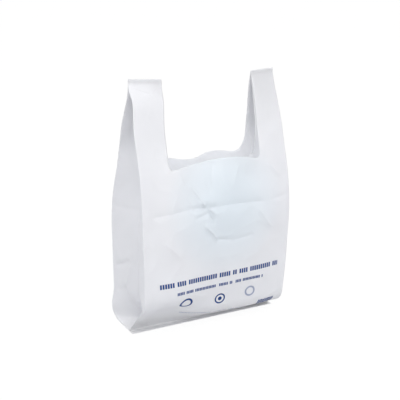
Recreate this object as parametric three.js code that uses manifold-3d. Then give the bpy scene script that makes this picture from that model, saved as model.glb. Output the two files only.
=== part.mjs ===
import * as THREE from 'three';
import { mergeVertices } from 'three/addons/utils/BufferGeometryUtils.js';
import Module from 'manifold-3d';

// Plastic carrier bag of the vest type, standing open on its folded bottom.
// Such a bag is one blown tube of film. Its sides are tucked in as gussets, it is laid flat and
// welded across the bottom and the top, and one punch through all layers cuts the mouth, which
// leaves two handles. The source follows the same steps: an open sleeve with straight walls is
// punched, then folded to the shape it has in use, and the welds are joined to it.
// Millimetres. X runs along the width, Y from front to back, Z up, the floor is Z = 0.

// Film and cut sizes, as for a bag lying flat
const BAG_WIDTH = 260;
const GUSSET_DEPTH = 60;
const HANDLE_WIDTH = 50;
const FILM = 0.5;
const LAYER_GAP = 0.2;
const MOUTH_DEPTH = 139;
const MOUTH_CORNER = 12;

// Welds
const BOTTOM_FLANGE = 15;
const TOP_WELD = 8;
const WELD_BITE = 1.5;

// Shape the bag is opened to
const HANDLE_TOP = 409;
const OPEN_DEPTH = 114;
const LIP_DEPTH = 64;
const SHOULDER_HEIGHT = 200;
const FRONT_HEEL = 64;
const SEAM_OFFSET = 2;
const HEEL_RADIUS = 14;
const SHOULDER_EASE = 45;
const PANEL_BULGE = 5;
const HANDLE_SWING = 0.8;
const SWING_RISE = 60;
const LEFT_TURN = 22;
const RIGHT_TURN = 16;

// Divisions of the sleeve
const PANEL_DIVISIONS = 12;
const GUSSET_DIVISIONS = 3;
const SLEEVE_STEPS = 44;
const CURVE_SAMPLES = 600;
const PUNCH_SWAY = 60;

const wasm = await Module();
wasm.setup();

const layerPitch = FILM + LAYER_GAP;
const halfWidth = BAG_WIDTH / 2;
const halfFilm = FILM / 2;
const packDepth = 3 * layerPitch;
const sideLength = 2 * GUSSET_DEPTH + packDepth;
const halfSide = sideLength / 2;
const weldLine = HANDLE_TOP - TOP_WELD;
const lipHeight = HANDLE_TOP - MOUTH_DEPTH;

function corner(path, from, at, to, radius) {
  const before = at.clone().add(from.clone().sub(at).setLength(radius));
  const after = at.clone().add(to.clone().sub(at).setLength(radius));
  path.add(new THREE.LineCurve3(from, before));
  path.add(new THREE.QuadraticBezierCurve3(before, at, after));
  return after;
}

function point(y, z) {
  return new THREE.Vector3(0, y, z);
}

// The fold line of the front panel, from the bottom weld up to the top weld
function frontFold() {
  const seam = point(SEAM_OFFSET - packDepth / 2, halfFilm + layerPitch);
  const heel = point(-OPEN_DEPTH / 2, FRONT_HEEL);
  const shoulder = point(-OPEN_DEPTH / 2, SHOULDER_HEIGHT);
  const lip = point(-LIP_DEPTH / 2, lipHeight);
  const top = point(-packDepth / 2, weldLine);
  const path = new THREE.CurvePath();
  const heelEnd = corner(path, seam, heel, shoulder, HEEL_RADIUS);
  const shoulderEnd = corner(path, heelEnd, shoulder, lip, SHOULDER_EASE);
  path.add(new THREE.LineCurve3(shoulderEnd, lip));
  path.add(new THREE.LineCurve3(lip, top));
  return path;
}

// The fold line of the back panel, whose lowest stretch lies flat on the floor
function backFold() {
  const seam = point(SEAM_OFFSET, halfFilm);
  const heel = point(OPEN_DEPTH / 2, halfFilm);
  const shoulder = point(OPEN_DEPTH / 2, SHOULDER_HEIGHT);
  const lip = point(LIP_DEPTH / 2, lipHeight);
  const top = point(packDepth / 2, weldLine);
  const path = new THREE.CurvePath();
  const heelEnd = corner(path, seam, heel, shoulder, HEEL_RADIUS);
  const shoulderEnd = corner(path, heelEnd, shoulder, lip, SHOULDER_EASE);
  path.add(new THREE.LineCurve3(shoulderEnd, lip));
  path.add(new THREE.LineCurve3(lip, top));
  return path;
}

// Reads a fold line at a share of its length below or above the lip, so that the cut meets it
function foldReader(path) {
  const points = path.getSpacedPoints(CURVE_SAMPLES);
  const lengths = path.getLengths(CURVE_SAMPLES);
  const total = lengths[CURVE_SAMPLES];
  const handleRun = total - points.findIndex((p) => p.z > lipHeight) * total / CURVE_SAMPLES;
  return { path, total, bodyRun: total - handleRun, handleRun };
}

const front = foldReader(frontFold());
const back = foldReader(backFold());
const bodyHeight = (front.bodyRun + back.bodyRun) / 2;
const handleHeight = (front.handleRun + back.handleRun) / 2;
const sleeveHeight = bodyHeight + handleHeight;

function readFold(fold, height) {
  const inBody = height <= bodyHeight;
  const bodyShare = height / bodyHeight;
  const handleShare = (height - bodyHeight) / handleHeight;
  const run = inBody ? bodyShare * fold.bodyRun : fold.bodyRun + handleShare * fold.handleRun;
  const share = THREE.MathUtils.clamp(run / fold.total, 0, 1);
  return { at: fold.path.getPointAt(share), along: fold.path.getTangentAt(share) };
}

// One level of the opened bag: where its folds lie and which way its walls face. Beside the mouth
// the punch has cut the gusset in two, so there its halves swing back against their own panels.
function level(height) {
  const f = readFold(front, height);
  const b = readFold(back, height);
  const frontNormal = new THREE.Vector3(0, -f.along.z, f.along.y);
  const backNormal = new THREE.Vector3(0, b.along.z, -b.along.y);
  const frontEdge = f.at.clone().addScaledVector(frontNormal, -layerPitch);
  const backEdge = b.at.clone().addScaledVector(backNormal, -layerPitch);
  const across = backEdge.clone().sub(frontEdge);
  const half = THREE.MathUtils.clamp((across.length() - layerPitch) / 2, 0, GUSSET_DEPTH);
  const swing = THREE.MathUtils.smoothstep(height, bodyHeight, bodyHeight + SWING_RISE);
  const angle = Math.asin(half / GUSSET_DEPTH) * (1 - HANDLE_SWING * swing);
  const reach = GUSSET_DEPTH * Math.sin(angle);
  const tuck = GUSSET_DEPTH * Math.cos(angle);
  across.normalize();
  return { front: f.at, back: b.at, frontNormal, backNormal, frontEdge, backEdge, across, reach, tuck };
}

function mitre(a, b) {
  return a.clone().add(b).divideScalar(1 + a.dot(b));
}

// Which way half a gusset faces, between standing open and lying folded against a neighbour
function halfFacing(at, out, folded) {
  const open = out.clone().multiplyScalar(at.reach / GUSSET_DEPTH);
  return open.addScaledVector(folded, at.tuck / GUSSET_DEPTH);
}

// The side wall as six stations: front fold, gusset crease and back fold, each one layer deep
function sideStations(at, side) {
  const out = new THREE.Vector3(side, 0, 0);
  const atFront = mitre(out, halfFacing(at, out, at.frontNormal.clone().negate()));
  const byFront = mitre(out, halfFacing(at, out, at.across));
  const byBack = mitre(out, halfFacing(at, out, at.across.clone().negate()));
  const atBack = mitre(out, halfFacing(at, out, at.backNormal.clone().negate()));
  const edge = new THREE.Vector3(side * halfWidth, 0, 0);
  const crease = new THREE.Vector3(side * (halfWidth - at.tuck), 0, 0);
  const frontCrease = crease.clone().add(at.frontEdge).addScaledVector(at.across, at.reach);
  const backCrease = crease.clone().add(at.backEdge).addScaledVector(at.across, -at.reach);
  return [
    { y: -halfSide, at: edge.clone().add(at.front), off: at.frontNormal.clone().add(out) },
    { y: layerPitch - halfSide, at: edge.clone().add(at.frontEdge), off: atFront },
    { y: -layerPitch / 2, at: frontCrease, off: byFront },
    { y: layerPitch / 2, at: backCrease, off: byBack },
    { y: halfSide - layerPitch, at: edge.clone().add(at.backEdge), off: atBack },
    { y: halfSide, at: edge.clone().add(at.back), off: at.backNormal.clone().add(out) },
  ];
}

function foldSide(at, x, y) {
  const side = Math.sign(x);
  const depth = Math.abs(x) - halfWidth;
  const stations = sideStations(at, side);
  const next = Math.max(1, stations.findIndex((s) => y <= s.y));
  const a = stations[next - 1];
  const b = stations[next];
  const share = (y - a.y) / (b.y - a.y);
  const off = a.off.clone().lerp(b.off, share);
  return a.at.clone().lerp(b.at, share).addScaledVector(off, depth);
}

function foldPanel(at, x, y, height) {
  const isFront = y < 0;
  const depth = Math.abs(y) - halfSide;
  const normal = isFront ? at.frontNormal : at.backNormal;
  const fold = isFront ? at.front : at.back;
  const crown = Math.cos(Math.PI * THREE.MathUtils.clamp(x / BAG_WIDTH, -0.5, 0.5));
  const rise = THREE.MathUtils.smoothstep(height, GUSSET_DEPTH, 2 * GUSSET_DEPTH);
  const fall = 1 - THREE.MathUtils.smoothstep(height, bodyHeight - GUSSET_DEPTH, bodyHeight);
  const bulge = PANEL_BULGE * crown * rise * fall;
  const place = fold.clone().addScaledVector(normal, depth + bulge);
  place.x = x;
  return place;
}

// The top of each handle is turned a little about its own middle
function turnHandle(place) {
  const side = Math.sign(place.x);
  const turn = THREE.MathUtils.degToRad(side < 0 ? -LEFT_TURN : RIGHT_TURN);
  const share = THREE.MathUtils.smoothstep(place.z, lipHeight, weldLine);
  const middle = new THREE.Vector3(side * (halfWidth - HANDLE_WIDTH / 2), 0, 0);
  return place.sub(middle).applyAxisAngle(new THREE.Vector3(0, 0, 1), turn * share).add(middle);
}

function foldPoint(place) {
  const at = level(THREE.MathUtils.clamp(place.z, 0, sleeveHeight));
  const onPanel = Math.abs(place.y) > halfSide - (halfFilm + layerPitch) / 2;
  const folded = onPanel
    ? foldPanel(at, place.x, place.y, place.z)
    : foldSide(at, place.x, place.y);
  return turnHandle(folded);
}

function deform(geometry, change) {
  const places = geometry.getAttribute('position');
  const place = new THREE.Vector3();
  for (let i = 0; i < places.count; i += 1) {
    place.fromBufferAttribute(places, i);
    const moved = change(place);
    places.setXYZ(i, moved.x, moved.y, moved.z);
  }
  return geometry;
}

function toSolid(geometry) {
  geometry.deleteAttribute('normal');
  geometry.deleteAttribute('uv');
  const merged = mergeVertices(geometry);
  const vertProperties = new Float32Array(merged.getAttribute('position').array);
  const triVerts = new Uint32Array(merged.index.array);
  return new wasm.Manifold(new wasm.Mesh({ numProp: 3, vertProperties, triVerts }));
}

function toGeometry(solid) {
  const mesh = solid.getMesh();
  const geometry = new THREE.BufferGeometry();
  geometry.setAttribute('position', new THREE.BufferAttribute(mesh.vertProperties, 3));
  geometry.setIndex(new THREE.BufferAttribute(mesh.triVerts, 1));
  return geometry;
}

// Outline of the sleeve at one face of the film, with a point at every fold
function sleeveOutline(offset) {
  const x = halfWidth + offset;
  const y = halfSide + offset;
  const outline = [];
  for (let i = 0; i <= PANEL_DIVISIONS; i += 1) {
    outline.push(new THREE.Vector2(THREE.MathUtils.lerp(-x, x, i / PANEL_DIVISIONS), -y));
  }
  for (let i = 0; i <= GUSSET_DIVISIONS; i += 1) {
    const run = THREE.MathUtils.lerp(layerPitch - halfSide, -layerPitch / 2, i / GUSSET_DIVISIONS);
    outline.push(new THREE.Vector2(x, run));
  }
  const quarter = outline.slice(PANEL_DIVISIONS + 1).map((p) => new THREE.Vector2(p.x, -p.y));
  outline.push(...quarter.reverse());
  const turned = outline.map((p) => new THREE.Vector2(-p.x, -p.y));
  return outline.concat(turned);
}

function quad(index, a, b, c, d) {
  index.push(a, b, c, a, c, d);
}

// The sleeve: both faces of the film rise row by row and are closed at the two cut ends.
// Both faces are split along the same diagonals, so that the film keeps its thickness when folded.
function openSleeve() {
  const outer = sleeveOutline(halfFilm);
  const inner = sleeveOutline(-halfFilm);
  const count = outer.length;
  const places = [];
  const index = [];
  for (let row = 0; row <= SLEEVE_STEPS; row += 1) {
    const z = sleeveHeight * row / SLEEVE_STEPS;
    outer.concat(inner).forEach((p) => places.push(p.x, p.y, z));
  }
  for (let i = 0; i < count; i += 1) {
    const next = (i + 1) % count;
    for (let row = 0; row < SLEEVE_STEPS; row += 1) {
      const low = row * 2 * count;
      const high = low + 2 * count;
      quad(index, low + i, low + next, high + next, high + i);
      quad(index, low + count + i, high + count + i, high + count + next, low + count + next);
    }
    const top = SLEEVE_STEPS * 2 * count;
    quad(index, i, count + i, count + next, next);
    quad(index, top + i, top + next, top + count + next, top + count + i);
  }
  const geometry = new THREE.BufferGeometry();
  geometry.setAttribute('position', new THREE.Float32BufferAttribute(places, 3));
  geometry.setIndex(index);
  return geometry;
}

// While it is punched the sleeve lies on a curve, with the punch curved to match it. None of its
// rows is then flat with the next, so that each one keeps its own edge along the cut.
function sway(place, way) {
  const lean = way * PUNCH_SWAY * (place.z / sleeveHeight) ** 2;
  return place.add(new THREE.Vector3(lean, lean, 0));
}

function swayed(geometry) {
  return toSolid(deform(geometry, (place) => sway(place, 1)));
}

// The punched mouth: its outline in the panels, and what the same punch takes from the gussets
function punch(halfMouth, turned) {
  const top = sleeveHeight + MOUTH_CORNER;
  const overlap = Math.max(0, MOUTH_CORNER - halfMouth);
  const sweep = Math.acos(overlap / MOUTH_CORNER);
  const arcHeight = bodyHeight + MOUTH_CORNER;
  const shape = new THREE.Shape();
  shape.moveTo(-halfMouth, top);
  for (let row = SLEEVE_STEPS; row >= 0; row -= 1) {
    shape.lineTo(-halfMouth, THREE.MathUtils.lerp(arcHeight, top, row / SLEEVE_STEPS));
  }
  shape.absarc(MOUTH_CORNER - halfMouth, arcHeight, MOUTH_CORNER, Math.PI, Math.PI + sweep);
  shape.absarc(halfMouth - MOUTH_CORNER, arcHeight, MOUTH_CORNER, -sweep, 0);
  for (let row = 1; row <= SLEEVE_STEPS; row += 1) {
    shape.lineTo(halfMouth, THREE.MathUtils.lerp(arcHeight, top, row / SLEEVE_STEPS));
  }
  const depth = 2 * (turned ? BAG_WIDTH : sideLength);
  const settings = { depth, curveSegments: 6, bevelEnabled: false };
  const geometry = new THREE.ExtrudeGeometry(shape, settings);
  geometry.translate(0, 0, -depth / 2).rotateX(Math.PI / 2);
  return swayed(turned ? geometry.rotateZ(Math.PI / 2) : geometry);
}

// The flange below the bottom weld, lying forward on the floor
function bottomWeld() {
  const depth = BOTTOM_FLANGE + WELD_BITE;
  const geometry = new THREE.BoxGeometry(BAG_WIDTH + FILM, depth, packDepth + FILM);
  geometry.translate(0, SEAM_OFFSET + WELD_BITE - depth / 2, halfFilm + packDepth / 2);
  return toSolid(geometry);
}

// The welded band across the top of one handle
function topWeld(side) {
  const height = TOP_WELD + WELD_BITE;
  const width = HANDLE_WIDTH + FILM;
  const geometry = new THREE.BoxGeometry(width, packDepth + FILM, height);
  const middle = side * (halfWidth + halfFilm - width / 2);
  geometry.translate(middle, 0, HANDLE_TOP - height / 2);
  const lift = weldLine;
  const hold = (place) => {
    const z = place.z;
    place.z = lift;
    const turned = turnHandle(place);
    turned.z = z;
    return turned;
  };
  return toSolid(deform(geometry, hold));
}

function carrierBag() {
  const mouth = punch(halfWidth - HANDLE_WIDTH, false);
  let sleeve = swayed(openSleeve()).subtract(mouth);
  if (GUSSET_DEPTH > HANDLE_WIDTH) {
    const notch = punch(GUSSET_DEPTH + layerPitch / 2 - HANDLE_WIDTH, true);
    sleeve = sleeve.subtract(notch);
  }
  const film = toSolid(deform(toGeometry(sleeve), (place) => foldPoint(sway(place, -1))));
  const bag = film.add(bottomWeld()).add(topWeld(-1)).add(topWeld(1));
  const geometry = toGeometry(bag).toNonIndexed();
  geometry.computeVertexNormals();
  const material = new THREE.MeshStandardMaterial({ color: 0xe9edf1, roughness: 0.4, metalness: 0 });
  const mesh = new THREE.Mesh(geometry, material);
  mesh.name = 'carrier_bag';
  return mesh;
}

// The origin is on the floor under the middle of the whole bag
const group = new THREE.Group();
group.add(carrierBag());
const middle = new THREE.Box3().setFromObject(group).getCenter(new THREE.Vector3());
group.position.set(-middle.x, -middle.y, 0);

export default group;
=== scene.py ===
import bisect
import math

import bmesh
import bpy
from mathutils import Matrix, Vector, noise


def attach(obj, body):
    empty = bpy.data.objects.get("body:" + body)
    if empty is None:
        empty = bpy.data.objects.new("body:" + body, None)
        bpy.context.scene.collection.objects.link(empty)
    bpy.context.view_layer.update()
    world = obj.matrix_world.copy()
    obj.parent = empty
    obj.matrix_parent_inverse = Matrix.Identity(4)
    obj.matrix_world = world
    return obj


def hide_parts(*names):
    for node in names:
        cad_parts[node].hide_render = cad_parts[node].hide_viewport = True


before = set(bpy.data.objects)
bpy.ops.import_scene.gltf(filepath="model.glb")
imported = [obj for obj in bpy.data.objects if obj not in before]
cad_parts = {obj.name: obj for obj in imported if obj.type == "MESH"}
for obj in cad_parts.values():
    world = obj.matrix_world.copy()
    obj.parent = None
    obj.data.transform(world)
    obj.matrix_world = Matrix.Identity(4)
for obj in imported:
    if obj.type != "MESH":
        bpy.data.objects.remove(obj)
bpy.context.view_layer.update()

# The film. The real bag is one blown tube of milky polyethylene, about 50 micron thick, with its
# sides tucked in, welded across the bottom and the top, and punched for the mouth. Here a grid is
# that tube cut open, and each point is carried from the flat film to where the opened bag holds it.
MM = 0.001
BAG_WIDTH = 260.0
GUSSET_DEPTH = 60.0
HANDLE_WIDTH = 50.0
LAYER_PITCH = 0.7
FILM_THICKNESS = 0.14
MOUTH_CORNER = 12.0
BOTTOM_SKIRT = 13.0
TOP_SKIRT = 7.6

LIP_HEIGHT = 270.0
WELD_HEIGHT = 401.0
LEFT_FRONT = 59.0
RIGHT_FRONT = 49.0
BACK = 57.0
LEFT_FRONT_LIP = 52.0
RIGHT_FRONT_LIP = 36.0
BACK_LIP = 32.0
SHOULDER_HEIGHT = 200.0
LEFT_HEEL = 62.0
RIGHT_HEEL = 27.0
SEAM_PLACE = 2.0
FLOOR_GAP = 0.25
EASE_STEPS = 16
HEEL_EASE = 16.0
SHOULDER_EASE = 45.0
PANEL_BULGE = 5.0
FRONT_SWAY = -8.0
BACK_SWAY = 12.0
FRONT_RISE = 13.5
SWAY_REACH = 95.0
HANDLE_SWING = 0.8
SWING_RISE = 60.0
LEFT_HANDLE_OUT = 21.0
RIGHT_HANDLE_OUT = 7.5
HANDLE_BEND = 375.0
HANDLE_TURN = {-1: -24.0, 1: 16.0}
TURN_START = {-1: 377.0, 1: 270.0}
LEAN_START = {-1: 330.0, 1: 270.0}
STRIP_CURL = 8.0
HANDLE_LEAN = {-1: 7.0, 1: -3.0}
BACK_SKEW = -8.0
RIGHT_BELLY = 3.0
RIGHT_TUCK = 7.0
LEFT_FLARE = 4.0
HANDLE_DROP = 2.5
FLANGE_PITCH = 0.3
TOP_CLOSING = 0.5
CENTRE = (0.3, 0.0)

# The uneven foot of the front: where it drops across the width, its folded hill, and how far up
# it reaches. Then where the sides stand out, are drawn in and flare, all as heights or depths.
FOOT_DROP = (-90.0, 10.0)
FOOT_HILL = -88.0
FOOT_HILL_WIDTH = 30.0
FOOT_HILL_SHARE = 0.45
FOOT_REACH = (70.0, 170.0)
BELLY_RISE = (110.0, 200.0)
BELLY_FALL = (220.0, 300.0)
TUCK_RISE = (-4.0, 14.0)
TUCK_FALL = (4.0, 120.0)
FLARE_DEPTH = (-20.0, 50.0)
FLARE_RISE = (0.0, 22.0)
FLARE_FALL = (26.0, 58.0)

# Waves of the lips: how round the front one is, and the back one's rise, place and half width
FRONT_ROUNDNESS = 0.7
BACK_HILLS = [(10.0, -52.0, 28.0), (-4.0, 7.0, 22.0)]
CURL_START = -5.0
CURL_FULL = 30.0
CURL_END = 70.0

half_width = BAG_WIDTH / 2
pack_depth = 3 * LAYER_PITCH
gusset_run = 2 * GUSSET_DEPTH + pack_depth
half_gusset = gusset_run / 2
tube_run = 2 * (BAG_WIDTH + gusset_run)
mouth_half = half_width - HANDLE_WIDTH
shoulder_lean = (BACK - BACK_LIP) / (LIP_HEIGHT - SHOULDER_HEIGHT)


def smooth(value, low, high):
    share = min(max((value - low) / (high - low), 0.0), 1.0)
    return share * share * (3.0 - 2.0 * share)


def fold_line(corners, eases):
    """A fold line in the Y-Z plane, eased round its inner corners, with its running length."""
    corners = [Vector((0.0, y, z)) for y, z in corners]
    points = [corners[0]]
    for before, at, after, ease in zip(corners, corners[1:], corners[2:], eases):
        start = at + (before - at).normalized() * ease
        end = at + (after - at).normalized() * ease
        for step in range(EASE_STEPS + 1 if ease else 1):
            share = step / EASE_STEPS
            points.append(start.lerp(at, share).lerp(at.lerp(end, share), share))
    points.append(corners[-1])
    runs = [0.0]
    for a, b in zip(points, points[1:]):
        runs.append(runs[-1] + (b - a).length)
    lip_run = next(r for p, r in zip(points, runs) if p.z >= LIP_HEIGHT - 1e-6)
    return {"points": points, "runs": runs, "body": lip_run, "handle": runs[-1] - lip_run}


def front_fold(out, heel, lip_out, handle_out):
    corners = [
        (SEAM_PLACE - pack_depth / 2, FLOOR_GAP + LAYER_PITCH),
        (-out, heel),
        (-out, SHOULDER_HEIGHT),
        (-lip_out, LIP_HEIGHT),
        (-handle_out, HANDLE_BEND),
        (-pack_depth / 2, WELD_HEIGHT),
    ]
    return fold_line(corners, [HEEL_EASE, SHOULDER_EASE, 0.0, 18.0])


left_line = front_fold(LEFT_FRONT, LEFT_HEEL, LEFT_FRONT_LIP, LEFT_HANDLE_OUT)
right_line = front_fold(RIGHT_FRONT, RIGHT_HEEL, RIGHT_FRONT_LIP, RIGHT_HANDLE_OUT)
back_line = fold_line(
    [
        (SEAM_PLACE, FLOOR_GAP),
        (BACK, FLOOR_GAP),
        (BACK, SHOULDER_HEIGHT),
        (BACK_LIP, LIP_HEIGHT),
        (pack_depth / 2, WELD_HEIGHT),
    ],
    [HEEL_EASE, SHOULDER_EASE, 0.0],
)
lines = (left_line, right_line, back_line)
body_height = sum(line["body"] for line in lines) / 3
handle_height = sum(line["handle"] for line in lines) / 3
tube_height = body_height + handle_height


def read_line(line, height):
    if height <= body_height:
        run = line["body"] * height / body_height
    else:
        run = line["body"] + line["handle"] * (height - body_height) / handle_height
    runs = line["runs"]
    run = min(max(run, 0.0), runs[-1])
    k = min(max(bisect.bisect_right(runs, run), 1), len(runs) - 1)
    a = line["points"][k - 1]
    b = line["points"][k]
    share = (run - runs[k - 1]) / (runs[k] - runs[k - 1])
    return a.lerp(b, share), (b - a).normalized()


def front_share(x, height):
    """How far the front panel has gone from its left fold line to its right one. Near the floor
    it first stays high, over the folded foot at the left, and then drops to the low heel."""
    above = smooth(x, -half_width, half_width)
    hill = math.exp(-(((x - FOOT_HILL) / FOOT_HILL_WIDTH) ** 2))
    below = smooth(x, *FOOT_DROP) - FOOT_HILL_SHARE * hill
    return below + (above - below) * smooth(height, *FOOT_REACH)


def level(x, height):
    """Where the folds lie at one height of the flat tube, and which way its walls face."""
    left, left_along = read_line(left_line, height)
    right, right_along = read_line(right_line, height)
    share = front_share(x, height)
    front = left.lerp(right, share)
    front_along = left_along.lerp(right_along, share).normalized()
    back, back_along = read_line(back_line, height)
    front_out = Vector((0, -front_along.z, front_along.y))
    back_out = Vector((0, back_along.z, -back_along.y))
    front_edge = front - LAYER_PITCH * front_out
    back_edge = back - LAYER_PITCH * back_out
    across = back_edge - front_edge
    half = min(max((across.length - LAYER_PITCH) / 2, 0.0), GUSSET_DEPTH)
    swing = smooth(height, body_height, body_height + SWING_RISE)
    angle = math.asin(half / GUSSET_DEPTH) * (1 - HANDLE_SWING * swing)
    across.normalize()
    return {
        "front": front,
        "back": back,
        "front_out": front_out,
        "back_out": back_out,
        "front_edge": front_edge,
        "back_edge": back_edge,
        "across": across,
        "reach": GUSSET_DEPTH * math.sin(angle),
        "tuck": GUSSET_DEPTH * math.cos(angle),
    }


def wall_of(run):
    """Which wall a point round the tube is on, and its place across that wall."""
    if run <= BAG_WIDTH:
        return "front", run - half_width
    if run <= BAG_WIDTH + gusset_run:
        return "right", run - BAG_WIDTH - half_gusset
    if run <= 2 * BAG_WIDTH + gusset_run:
        return "back", half_width + BAG_WIDTH + gusset_run - run
    return "left", tube_run - half_gusset - run


def laid_flat(wall, place):
    """How far from the bag's middle line a point lies when the bag is flat and tucked."""
    if wall in ("front", "back"):
        return abs(place)
    return half_width - GUSSET_DEPTH + max(abs(place) - LAYER_PITCH / 2, 0.0)


def lip_wave(wall, x, height):
    """Between the handles nothing holds the cut lips, so they wave in and out."""
    share = min(max(x / mouth_half, -1.0), 1.0)
    free = 1 - share * share
    hang = smooth(height, body_height - SWAY_REACH, body_height)
    wave = hang * free * math.sin(math.pi * share)
    if wall == "back":
        rise = sum(top * math.exp(-(((x - at) / wide) ** 2)) for top, at, wide in BACK_HILLS)
        lift = BACK_SWAY * wave * shoulder_lean + rise * hang * math.sqrt(max(free, 0.0))
        return Vector((0, BACK_SWAY * wave, lift))
    rise = FRONT_RISE * hang * free ** FRONT_ROUNDNESS
    return Vector((0, FRONT_SWAY * wave, rise - FRONT_SWAY * wave * shoulder_lean))


def hold_panel(at, wall, x, height):
    out = at["front_out"] if wall == "front" else at["back_out"]
    fold = at["front"] if wall == "front" else at["back"]
    crown = math.cos(math.pi * x / BAG_WIDTH)
    rise = smooth(height, GUSSET_DEPTH, 2 * GUSSET_DEPTH)
    fall = 1 - smooth(height, body_height - GUSSET_DEPTH, body_height)
    spot = Vector((x, 0, 0)) + fold + out * (PANEL_BULGE * crown * rise * fall)
    return spot + lip_wave(wall, x, height)


def hold_gusset(at, side, place):
    crease = Vector((side * (half_width - at["tuck"]), 0, 0))
    edge = Vector((side * half_width, 0, 0))
    stations = [
        (-half_gusset, edge + at["front"]),
        (LAYER_PITCH - half_gusset, edge + at["front_edge"]),
        (-LAYER_PITCH / 2, crease + at["front_edge"] + at["across"] * at["reach"]),
        (LAYER_PITCH / 2, crease + at["back_edge"] - at["across"] * at["reach"]),
        (half_gusset - LAYER_PITCH, edge + at["back_edge"]),
        (half_gusset, edge + at["back"]),
    ]
    for (low, a), (high, b) in zip(stations, stations[1:]):
        if place <= high + 1e-6:
            return a.lerp(b, min(max((place - low) / (high - low), 0.0), 1.0))
    return stations[-1][1]


def turn_handle(place):
    side = 1 if place.x > 0 else -1
    middle = Vector((side * (half_width - HANDLE_WIDTH / 2), 0, 0))
    angle = math.radians(HANDLE_TURN[side]) * smooth(place.z, TURN_START[side], WELD_HEIGHT)
    lean = HANDLE_LEAN[side] * smooth(place.z, LEAN_START[side], WELD_HEIGHT)
    turned = Matrix.Rotation(angle, 4, "Z") @ (place - middle)
    return turned + middle + Vector((lean, 0, 0))


def skew(place):
    """The body stands a little askew: its back panel is shifted along the width."""
    behind = (place.y + LEFT_FRONT) / (BACK + LEFT_FRONT)
    left_fall = 1 - smooth(place.z, SHOULDER_HEIGHT, WELD_HEIGHT)
    right_fall = 1 - smooth(place.z, RIGHT_HEEL, LIP_HEIGHT)
    to_right = smooth(place.x, -mouth_half, mouth_half)
    fall = left_fall + (right_fall - left_fall) * to_right
    return place + Vector((BACK_SKEW * behind * fall, 0, 0))


def belly(place):
    """The right side stands out at the shoulder and is drawn in towards its low heel. The left
    side flares out at the back of its foot."""
    at_end = max(place.x / half_width, 0.0) ** 2
    out = RIGHT_BELLY * smooth(place.z, *BELLY_RISE) * (1 - smooth(place.z, *BELLY_FALL))
    drawn = RIGHT_TUCK * (1 - smooth(place.z, *TUCK_FALL)) * smooth(place.z, *TUCK_RISE)
    heel = LEFT_FLARE * max(-place.x / half_width, 0.0) ** 2 * smooth(place.y, *FLARE_DEPTH)
    flare = heel * smooth(place.z, *FLARE_RISE) * (1 - smooth(place.z, *FLARE_FALL))
    return place + Vector((at_end * (out - drawn) - flare, 0, 0))


def hold(run, height):
    """Carries a point of the flat tube to the opened bag."""
    wall, place = wall_of(run)
    x = place
    if wall in ("right", "left"):
        x = half_width if wall == "right" else -half_width
    at = level(x, min(max(height, 0.0), tube_height))
    if wall in ("front", "back"):
        spot = hold_panel(at, wall, place, height)
    else:
        spot = hold_gusset(at, -1 if wall == "left" else 1, place)
    if height > tube_height:
        spot.z += height - tube_height
        spot.y *= 1 - TOP_CLOSING * (height - tube_height) / TOP_SKIRT
    if height < 0:
        spot.y += height
        layer = {"back": 0, "front": 3}.get(wall, 1 if place > 0 else 2)
        spot.z = FLOOR_GAP + FLANGE_PITCH * layer
    if spot.x < 0:
        spot.z -= HANDLE_DROP * smooth(spot.z, LIP_HEIGHT, WELD_HEIGHT)
    elif wall == "back" or wall == "right" and place > 0:
        curl = smooth(height, body_height + CURL_START, body_height + CURL_FULL)
        curl *= 1 - smooth(height, tube_height - CURL_END, tube_height)
        inward = max(half_width - spot.x, 0.0) / HANDLE_WIDTH
        spot.x += STRIP_CURL * curl * min(inward, 1.0)
    return belly(skew(turn_handle(spot)))


def steps(low, high, count):
    return [low + (high - low) * k / count for k in range(count)]


# The grid: how many divisions each stretch of the flat tube has round it and up it
PANEL_DIVISIONS = 52
GUSSET_DIVISIONS = 12
SKIRT_DIVISIONS = 3
BODY_DIVISIONS = 52
HANDLE_DIVISIONS = 22
TOP_DIVISIONS = 2
panel_columns = steps(0.0, BAG_WIDTH, PANEL_DIVISIONS)
gusset_columns = [0.0] + steps(LAYER_PITCH, LAYER_PITCH + GUSSET_DEPTH, GUSSET_DIVISIONS)
gusset_columns += [LAYER_PITCH + GUSSET_DEPTH]
second_wall = 2 * LAYER_PITCH + GUSSET_DEPTH
gusset_columns += steps(second_wall, gusset_run - LAYER_PITCH, GUSSET_DIVISIONS)
gusset_columns += [gusset_run - LAYER_PITCH]
columns = list(panel_columns)
columns += [BAG_WIDTH + c for c in gusset_columns]
columns += [BAG_WIDTH + gusset_run + c for c in panel_columns]
columns += [2 * BAG_WIDTH + gusset_run + c for c in gusset_columns]
columns += [tube_run]
rows = steps(-BOTTOM_SKIRT, 0.0, SKIRT_DIVISIONS)
rows += steps(0.0, body_height, BODY_DIVISIONS)
rows += steps(body_height, tube_height, HANDLE_DIVISIONS)
rows += steps(tube_height, tube_height + TOP_SKIRT, TOP_DIVISIONS)
rows += [tube_height + TOP_SKIRT]

tube = bmesh.new()
bmesh.ops.create_grid(
    tube, x_segments=len(columns) - 1, y_segments=len(rows) - 1, size=0.5
)
flat_map = tube.loops.layers.uv.new("film")
for vertex in tube.verts:
    i = round((vertex.co.x + 0.5) * (len(columns) - 1))
    j = round((vertex.co.y + 0.5) * (len(rows) - 1))
    vertex.co = Vector((columns[i], rows[j], 0))


def in_mouth(run, height):
    return height > body_height and laid_flat(*wall_of(run)) < mouth_half


punched = [f for f in tube.faces if in_mouth(*f.calc_center_median().xy)]
bmesh.ops.delete(tube, geom=punched, context="FACES")

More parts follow.
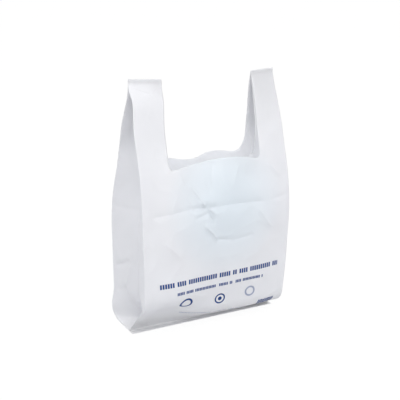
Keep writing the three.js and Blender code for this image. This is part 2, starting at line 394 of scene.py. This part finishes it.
# The punch has round corners, so the points on its cut edge move onto its arc
arc_x = mouth_half - MOUTH_CORNER
arc_height = body_height + MOUTH_CORNER
for vertex in tube.verts:
    wall, place = wall_of(vertex.co.x)
    flat = laid_flat(wall, place)
    height = vertex.co.y
    on_cut = vertex.is_boundary and arc_x < flat < mouth_half + 1e-3
    if not on_cut or not body_height - 1e-3 < height < arc_height:
        continue
    way = Vector((flat - arc_x, height - arc_height))
    if abs(flat - mouth_half) < 1e-3 and height > body_height + 1e-3:
        way.x = math.sqrt(MOUTH_CORNER ** 2 - way.y ** 2)
    elif flat < mouth_half - 1e-3:
        way.y = -math.sqrt(MOUTH_CORNER ** 2 - way.x ** 2)
    else:
        way = way.normalized() * MOUTH_CORNER
    shift = (arc_x + way.x) - flat
    outward = 1 if place > 0 else -1
    round_tube = -1 if wall in ("back", "left") else 1
    vertex.co.x += shift * outward * round_tube
    vertex.co.y = arc_height + way.y

for face in tube.faces:
    face.smooth = True
    for loop in face.loops:
        loop[flat_map].uv = loop.vert.co.xy * MM
for vertex in tube.verts:
    vertex.co = hold(*vertex.co.xy)
bmesh.ops.remove_doubles(tube, verts=tube.verts, dist=0.01)
bmesh.ops.recalc_face_normals(tube, faces=tube.faces)
coarse = bpy.data.meshes.new("bag_film_coarse")
tube.to_mesh(coarse)
tube.free()
rough = bpy.data.objects.new("bag_film_coarse", coarse)
bpy.context.collection.objects.link(rough)
halved = rough.modifiers.new("halved", "SUBSURF")
halved.levels = 1
halved.render_levels = 1
graph = bpy.context.evaluated_depsgraph_get()
film_mesh = bpy.data.meshes.new_from_object(rough.evaluated_get(graph))
film_mesh.name = "bag_film"
bpy.data.objects.remove(rough)

# Creases, dents and waves of the handled film, each as a move along the wall's own normal


def crease(x, height, a, b, depth, width):
    """A sharp fold from a to b on the flat wall that fades out at both ends."""
    along = Vector(b) - Vector(a)
    offset = Vector((x, height)) - Vector(a)
    share = offset.dot(along) / along.length_squared
    away = abs(offset.x * along.y - offset.y * along.x) / along.length
    fade = smooth(share, -0.12, 0.15) * (1 - smooth(share, 0.85, 1.12))
    return depth * fade * math.exp(-away / width)


def dent(x, height, middle, size, depth):
    u = (x - middle[0]) / size[0]
    v = (height - middle[1]) / size[1]
    return depth * math.exp(-u * u - v * v)


def ripples(x, height, seed):
    """Soft, shallow undulation with a few ridges, as film has after it was folded."""
    at = Vector((x, height, seed * 97.0))
    soft = noise.noise(at / 62.0) * 2.4 + noise.noise(at / 27.0) * 0.8
    ridge = 1 - abs(noise.noise((at + Vector((31, 17, 5))) / 44.0)) * 2
    return soft + 0.7 * max(ridge, 0.0) ** 5


# Folds of each panel on the flat film: from, to, depth and width, all in millimetres. Each one
# is a move of the mesh, deepened by FOLD_GAIN, and a sharper bend in the film's relief.
FOLD_GAIN = 1.3
front_folds = [
    ((-112, 240), (-46, 242), -1.3, 5.0),
    ((-46, 242), (-6, 239), -2.6, 3.0),
    ((-6, 239), (84, 237), -1.9, 5.5),
    ((92, 237), (126, 243), -0.9, 5.0),
    ((-26, 241), (-50, 275), 1.8, 3.0),
    ((-24, 244), (-12, 214), -2.2, 2.6),
    ((-36, 250), (-6, 226), 1.9, 2.6),
    ((-44, 226), (-20, 232), -1.6, 2.6),
    ((-28, 214), (-6, 188), 2.2, 3.4),
    ((-8, 188), (26, 181), -1.8, 2.8),
    ((26, 181), (62, 184), -1.3, 3.4),
    ((-96, 196), (-70, 168), 1.0, 6.0),
    ((70, 226), (96, 190), 1.1, 6.0),
    ((-129, 437), (-99, 425), -2.0, 2.5),
    ((-99, 425), (-80, 440), -2.0, 2.5),
    ((-66, 300), (-50, 262), 1.2, 5.0),
    ((-6, 300), (-16, 256), -1.0, 5.0),
    ((36, 292), (24, 262), 1.0, 4.0),
    ((92, 300), (112, 276), 1.6, 4.0),
]
back_folds = [
    ((-124, 240), (10, 238), -2.2, 4.5),
    ((10, 238), (124, 241), -2.4, 4.5),
    ((6, 232), (-22, 266), 1.8, 3.0),
    ((12, 240), (34, 208), 2.0, 3.0),
    ((-60, 200), (-30, 172), 1.6, 3.4),
]


def front_moves(x, h):
    free = smooth(h, 8, 60)
    edge = smooth(half_width - abs(x), 0, 14)
    move = ripples(x, h, 1) * free * (0.25 + 0.75 * edge)
    move += FOLD_GAIN * sum(crease(x, h, *fold) for fold in front_folds)
    move += dent(x, h, (58, 277), (26, 16), -3.4)
    move += dent(x, h, (30, 214), (52, 22), 2.6)
    move += dent(x, h, (-72, 186), (38, 50), 2.0)
    move += dent(x, h, (-20, 282), (30, 16), 2.0)
    return move


def back_moves(x, h):
    free = smooth(h, 90, 150)
    edge = smooth(half_width - abs(x), 0, 14)
    move = ripples(x, h, 2) * free * (0.25 + 0.75 * edge)
    return move + FOLD_GAIN * sum(crease(x, h, *fold) for fold in back_folds)


def gusset_moves(side, y, h):
    fold = min(half_gusset - abs(y), abs(y))
    free = smooth(fold, 0, 12) * smooth(h, 30, 90)
    move = 0.9 * ripples(y * 1.3, h, 4 + side) * free
    if side < 0:
        move += crease(y, h, (22, 150), (54, 138), -3.2, 3.0)
        move += crease(y, h, (15, 142), (26, 106), 3.6, 3.6)
        move += crease(y, h, (-52, 236), (56, 235), -1.4, 3.4) * smooth(abs(y), 2, 12)
        move += crease(y, h, (48, 98), (26, 106), -2.4, 3.2)
        move += crease(y, h, (26, 106), (10, 62), 2.6, 3.6)
    else:
        move += crease(y, h, (-54, 238), (54, 236), -1.6, 3.4) * smooth(abs(y), 2, 12)
        move += crease(y, h, (-44, 130), (-18, 112), 2.0, 4.0)
    return move


flat_of = {}
film_uv = film_mesh.uv_layers["film"].data
for loop in film_mesh.loops:
    flat_of.setdefault(loop.vertex_index, film_uv[loop.index].uv / MM)
normals = [n.vector.copy() for n in film_mesh.vertex_normals]
for vertex in film_mesh.vertices:
    run, height = flat_of[vertex.index]
    wall, place = wall_of(run)
    body = 1 - smooth(height, body_height + 40, tube_height)
    if wall == "front":
        move = front_moves(place, height)
    elif wall == "back":
        move = back_moves(place, height)
    else:
        move = gusset_moves(-1 if wall == "left" else 1, place, height)
    vertex.co += normals[vertex.index] * (move * body)
    vertex.co.z = max(vertex.co.z, FLOOR_GAP)

film_mesh.transform(Matrix.Scale(MM, 4))
film_mesh.transform(Matrix.Translation((CENTRE[0] * MM, CENTRE[1] * MM, 0)))
film = bpy.data.objects.new("bag_film", film_mesh)
bpy.context.collection.objects.link(film)
wall_thickness = film.modifiers.new("wall", "SOLIDIFY")
wall_thickness.thickness = FILM_THICKNESS * MM
wall_thickness.offset = 0.0

# The finish: milky film in two close tones, cooler in the middle of the front, and blue ink
DULL_FILM = (0.920, 0.923, 0.942, 1.0)
BRIGHT_FILM = (0.942, 0.945, 0.957, 1.0)
COOL_FILM = (0.880, 0.920, 0.950, 1.0)
BLUE_INK = (0.035, 0.11, 0.36, 1.0)
FAINT_INK = 0.45
FOLD_SOFTNESS = 2.0
FOLD_RELIEF = 0.24
film_look = bpy.data.materials.new("milky_film")
film_look.use_nodes = True
nodes = film_look.node_tree.nodes
links = film_look.node_tree.links
nodes.clear()


def node(kind, **settings):
    made = nodes.new(kind)
    for name, value in settings.items():
        setattr(made, name, value)
    return made


def feed(target, source):
    if hasattr(source, "is_output"):
        links.new(source, target)
    else:
        target.default_value = source


def maths(operation, *values):
    made = node("ShaderNodeMath", operation=operation)
    for socket, value in zip(made.inputs, values):
        feed(socket, value)
    return made.outputs[0]


film_map = node("ShaderNodeUVMap", uv_map="film").outputs[0]
flat_place = node("ShaderNodeSeparateXYZ")
feed(flat_place.inputs[0], film_map)
print_x = maths("SUBTRACT", flat_place.outputs[0], half_width * MM)
print_h = flat_place.outputs[1]


def between(value, low, high, soft=0.0003):
    ramp = node("ShaderNodeMapRange", interpolation_type="SMOOTHSTEP")
    feed(ramp.inputs["Value"], value)
    feed(ramp.inputs["From Min"], low - soft)
    feed(ramp.inputs["From Max"], low + soft)
    other = node("ShaderNodeMapRange", interpolation_type="SMOOTHSTEP")
    feed(other.inputs["Value"], value)
    feed(other.inputs["From Min"], high + soft)
    feed(other.inputs["From Max"], high - soft)
    return maths("MULTIPLY", ramp.outputs[0], other.outputs[0])


def bar_row(low_x, high_x, low_h, high_h, period, gap_scale, gap_level):
    """A printed row of small blocks with gaps of uneven width between its groups."""
    box = maths("MULTIPLY", between(print_x, low_x, high_x), between(print_h, low_h, high_h))
    cell = maths("FRACT", maths("DIVIDE", print_x, period))
    blocks = between(cell, 0.12, 0.84, 0.06)
    gaps = node("ShaderNodeTexNoise", noise_dimensions="1D")
    feed(gaps.inputs["W"], maths("FLOOR", maths("DIVIDE", print_x, period)))
    feed(gaps.inputs["Scale"], gap_scale)
    feed(gaps.inputs["Detail"], 0.0)
    words = maths("GREATER_THAN", gaps.outputs[0], gap_level)
    return maths("MULTIPLY", box, maths("MULTIPLY", blocks, words))


def ring(x, h, outer, inner):
    dx = maths("SUBTRACT", print_x, x)
    dh = maths("SUBTRACT", print_h, h)
    away = maths("SQRT", maths("ADD", maths("MULTIPLY", dx, dx), maths("MULTIPLY", dh, dh)))
    return between(away, inner, outer)


print_marks = [
    bar_row(-0.108, 0.113, 0.1195, 0.1275, 0.0041, 0.43, 0.40),
    bar_row(-0.078, 0.084, 0.1035, 0.1085, 0.0028, 0.37, 0.40),
    ring(-0.058, 0.083, 0.0115, 0.0080),
    ring(0.005, 0.079, 0.0095, 0.0070),
    ring(0.005, 0.079, 0.0035, 0.0),
    bar_row(0.081, 0.113, 0.044, 0.060, 0.0030, 0.43, 0.0),
]
inked = print_marks[0]
for mark in print_marks[1:]:
    inked = maths("MAXIMUM", inked, mark)
faint = bar_row(-0.062, 0.069, 0.0435, 0.0470, 0.0022, 0.31, 0.36)
faint = maths("MAXIMUM", faint, ring(0.061, 0.082, 0.0095, 0.0065))
on_front = maths("LESS_THAN", flat_place.outputs[0], BAG_WIDTH * MM)
inked = maths("MULTIPLY", maths("MAXIMUM", inked, maths("MULTIPLY", faint, FAINT_INK)), on_front)

object_place = node("ShaderNodeTexCoord").outputs["Object"]
cloud = node("ShaderNodeTexNoise")
feed(cloud.inputs["Vector"], object_place)
feed(cloud.inputs["Scale"], 14.0)
feed(cloud.inputs["Detail"], 3.0)
tone = node("ShaderNodeMix", data_type="RGBA")
feed(tone.inputs["Factor"], cloud.outputs[0])
feed(tone.inputs["A"], DULL_FILM)
feed(tone.inputs["B"], BRIGHT_FILM)

# The middle of the front panel is a little cooler than its edges and the gussets
cool_x = maths("DIVIDE", maths("SUBTRACT", print_x, 0.012), 0.105)
cool_h = maths("DIVIDE", maths("SUBTRACT", print_h, 0.240), 0.120)
cool_away = maths("ADD", maths("MULTIPLY", cool_x, cool_x), maths("MULTIPLY", cool_h, cool_h))
cool = maths("MULTIPLY", maths("SUBTRACT", 1.0, maths("MINIMUM", cool_away, 1.0)), on_front)
film_tone = node("ShaderNodeMix", data_type="RGBA")
feed(film_tone.inputs["Factor"], cool)
feed(film_tone.inputs["A"], tone.outputs["Result"])
feed(film_tone.inputs["B"], COOL_FILM)
colour = node("ShaderNodeMix", data_type="RGBA")
feed(colour.inputs["Factor"], inked)
feed(colour.inputs["A"], film_tone.outputs["Result"])
feed(colour.inputs["B"], BLUE_INK)

# Blown film has faint lines along the way it was drawn, and a fine matt grain
drawn = node("ShaderNodeMapping")
feed(drawn.inputs["Vector"], film_map)
drawn.inputs["Scale"].default_value = (900.0, 26.0, 1.0)
lines = node("ShaderNodeTexNoise")
feed(lines.inputs["Vector"], drawn.outputs[0])
feed(lines.inputs["Scale"], 1.0)
feed(lines.inputs["Detail"], 2.0)
grain = node("ShaderNodeTexNoise")
feed(grain.inputs["Vector"], object_place)
feed(grain.inputs["Scale"], 160.0)
feed(grain.inputs["Detail"], 3.0)
relief = maths("ADD", maths("MULTIPLY", lines.outputs[0], 0.35), grain.outputs[0])
fine = node("ShaderNodeBump")
feed(fine.inputs["Height"], relief)
fine.inputs["Strength"].default_value = 0.25
fine.inputs["Distance"].default_value = 0.0004


def vector_maths(operation, *values):
    made = node("ShaderNodeVectorMath", operation=operation)
    for socket, value in zip(made.inputs, values):
        feed(socket, value)
    return made


def fold_relief(start, end, depth, middle, way):
    """The sharp bend along one fold, on the panel whose middle line lies at the given run."""
    a = Vector((middle + way * start[0], start[1], 0)) * MM
    b = Vector((middle + way * end[0], end[1], 0)) * MM
    along = b - a
    offset = vector_maths("SUBTRACT", film_map, a[:]).outputs[0]
    dot = vector_maths("DOT_PRODUCT", offset, (along / along.length_squared)[:]).outputs["Value"]
    share = maths("MINIMUM", maths("MAXIMUM", dot, 0.0), 1.0)
    reach = node("ShaderNodeVectorMath", operation="SCALE")
    feed(reach.inputs[0], along[:])
    feed(reach.inputs["Scale"], share)
    gap = vector_maths("SUBTRACT", offset, reach.outputs[0]).outputs[0]
    away = vector_maths("LENGTH", gap).outputs["Value"]
    sharp = maths("POWER", math.e, maths("MULTIPLY", away, -1 / (FOLD_SOFTNESS * MM)))
    ends = maths("MULTIPLY", maths("MULTIPLY", share, maths("SUBTRACT", 1.0, share)), 4.0)
    return maths("MULTIPLY", sharp, maths("MULTIPLY", maths("SQRT", ends), depth * FOLD_RELIEF))


bends = [fold_relief(a, b, depth, half_width, 1) for a, b, depth, width in front_folds]
back_middle = BAG_WIDTH + gusset_run + half_width
bends += [fold_relief(a, b, depth, back_middle, -1) for a, b, depth, width in back_folds]
bent = bends[0]
for bend in bends[1:]:
    bent = maths("ADD", bent, bend)
bump = node("ShaderNodeBump")
feed(bump.inputs["Height"], bent)
feed(bump.inputs["Normal"], fine.outputs[0])
bump.inputs["Strength"].default_value = 1.0
bump.inputs["Distance"].default_value = MM
gloss = node("ShaderNodeMapRange")
feed(gloss.inputs["Value"], cloud.outputs[0])
gloss.inputs["To Min"].default_value = 0.36
gloss.inputs["To Max"].default_value = 0.50

skin = node("ShaderNodeBsdfPrincipled")
feed(skin.inputs["Base Color"], colour.outputs["Result"])
feed(skin.inputs["Roughness"], gloss.outputs[0])
feed(skin.inputs["Normal"], bump.outputs[0])
skin.inputs["IOR"].default_value = 1.5
skin.inputs["Specular IOR Level"].default_value = 0.4
glow = node("ShaderNodeBsdfTranslucent")
feed(glow.inputs["Color"], colour.outputs["Result"])
feed(glow.inputs["Normal"], bump.outputs[0])
film_mix = node("ShaderNodeMixShader")
clear = node("ShaderNodeMapRange", interpolation_type="SMOOTHSTEP")
feed(clear.inputs["Value"], print_h)
clear.inputs["From Min"].default_value = (body_height - 10) * MM
clear.inputs["From Max"].default_value = (body_height + 60) * MM
clear.inputs["To Min"].default_value = 0.58
clear.inputs["To Max"].default_value = 0.5
foot = node("ShaderNodeMapRange", interpolation_type="SMOOTHSTEP")
feed(foot.inputs["Value"], print_h)
foot.inputs["From Max"].default_value = 0.075
foot.inputs["To Min"].default_value = 0.48
feed(film_mix.inputs["Fac"], maths("MULTIPLY", clear.outputs[0], foot.outputs[0]))
links.new(skin.outputs[0], film_mix.inputs[1])
links.new(glow.outputs[0], film_mix.inputs[2])
film_out = node("ShaderNodeOutputMaterial")
links.new(film_mix.outputs[0], film_out.inputs["Surface"])
film.data.materials.append(film_look)
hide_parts("carrier_bag")
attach(film, "root")

# The studio. The bag stands on a plain white surface that runs on behind it, in soft light
# from above, from the front and from the left.
FLOOR_SIZE = 30.0
FLOOR_SHINE = 1.12
FLOOR_SHINE_SHARE = 0.84
AIR_LIGHT = 0.86
AIR_SEEN = 1.0
surface = bmesh.new()
bmesh.ops.create_grid(surface, x_segments=8, y_segments=8, size=FLOOR_SIZE)
floor_mesh = bpy.data.meshes.new("studio_floor")
surface.to_mesh(floor_mesh)
surface.free()
floor = bpy.data.objects.new("studio_floor", floor_mesh)
bpy.context.collection.objects.link(floor)
floor_look = bpy.data.materials.new("studio_white")
floor_look.use_nodes = True
nodes = floor_look.node_tree.nodes
links = floor_look.node_tree.links
nodes.clear()
matt = node("ShaderNodeBsdfDiffuse")
matt.inputs["Color"].default_value = (0.45, 0.45, 0.45, 1.0)
lit = node("ShaderNodeEmission")
lit.inputs["Strength"].default_value = FLOOR_SHINE
rays = node("ShaderNodeLightPath")
seen = maths("MAXIMUM", rays.outputs["Is Camera Ray"], rays.outputs["Is Glossy Ray"])
seen = maths("MAXIMUM", seen, rays.outputs["Is Transmission Ray"])
floor_mix = node("ShaderNodeMixShader")
feed(floor_mix.inputs["Fac"], maths("MULTIPLY", seen, FLOOR_SHINE_SHARE))
links.new(matt.outputs[0], floor_mix.inputs[1])
links.new(lit.outputs[0], floor_mix.inputs[2])
floor_out = node("ShaderNodeOutputMaterial")
links.new(floor_mix.outputs[0], floor_out.inputs["Surface"])
floor.data.materials.append(floor_look)

world = bpy.data.worlds.new("studio_air")
bpy.context.scene.world = world
world.use_nodes = True
nodes = world.node_tree.nodes
links = world.node_tree.links
nodes.clear()
air = node("ShaderNodeBackground")
air.inputs["Color"].default_value = (1.0, 1.0, 1.0, 1.0)
rays = node("ShaderNodeLightPath")
seen = maths("MAXIMUM", rays.outputs["Is Camera Ray"], rays.outputs["Is Glossy Ray"])
seen = maths("MAXIMUM", seen, rays.outputs["Is Transmission Ray"])
level_of_air = node("ShaderNodeMapRange")
feed(level_of_air.inputs["Value"], seen)
level_of_air.inputs["To Min"].default_value = AIR_LIGHT
level_of_air.inputs["To Max"].default_value = AIR_SEEN
feed(air.inputs["Strength"], level_of_air.outputs[0])
world_out = node("ShaderNodeOutputWorld")
links.new(air.outputs[0], world_out.inputs["Surface"])


def soft_light(name, place, aim, size, power):
    lamp = bpy.data.lights.new(name, "AREA")
    lamp.shape = "DISK"
    lamp.size = size
    lamp.energy = power
    lamp_object = bpy.data.objects.new(name, lamp)
    bpy.context.collection.objects.link(lamp_object)
    toward = (Vector(aim) - Vector(place)).to_track_quat("-Z", "Y")
    lamp_object.matrix_world = Matrix.Translation(place) @ toward.to_matrix().to_4x4()


soft_light("key_light", (0.1, -2.2, 1.5), (0, 0, 0.2), 1.6, 13.0)
soft_light("side_light", (-2.0, -0.5, 1.3), (0, 0, 0.3), 1.2, 4.0)
soft_light("top_light", (-0.5, -0.9, 2.4), (0, 0, 0.2), 1.8, 18.5)

CAMERA_YAW = 26.1
CAMERA_PITCH = 17.8
CAMERA_DISTANCE = 1.2454
CAMERA_LENS = 69.76
CAMERA_AIM = 0.215
SHIFT_RIGHT = 0.0059
SHIFT_UP = 0.0099
yaw = math.radians(CAMERA_YAW)
pitch = math.radians(CAMERA_PITCH)
ahead = Vector(
    (math.sin(yaw) * math.cos(pitch), math.cos(yaw) * math.cos(pitch), -math.sin(pitch))
)
right = Vector((math.cos(yaw), -math.sin(yaw), 0.0))
up = right.cross(ahead)
aim = Vector((0, 0, CAMERA_AIM))
stand = aim - ahead * CAMERA_DISTANCE - right * SHIFT_RIGHT - up * SHIFT_UP
camera_data = bpy.data.cameras.new("photo_camera")
camera_data.lens = CAMERA_LENS
camera_data.sensor_width = 36.0
camera = bpy.data.objects.new("photo_camera", camera_data)
bpy.context.collection.objects.link(camera)
camera.matrix_world = Matrix.Translation(stand) @ Matrix(
    (
        (right.x, up.x, -ahead.x),
        (right.y, up.y, -ahead.y),
        (right.z, up.z, -ahead.z),
    )
).to_4x4()
bpy.context.scene.camera = camera
bpy.context.scene.view_settings.view_transform = "Standard"
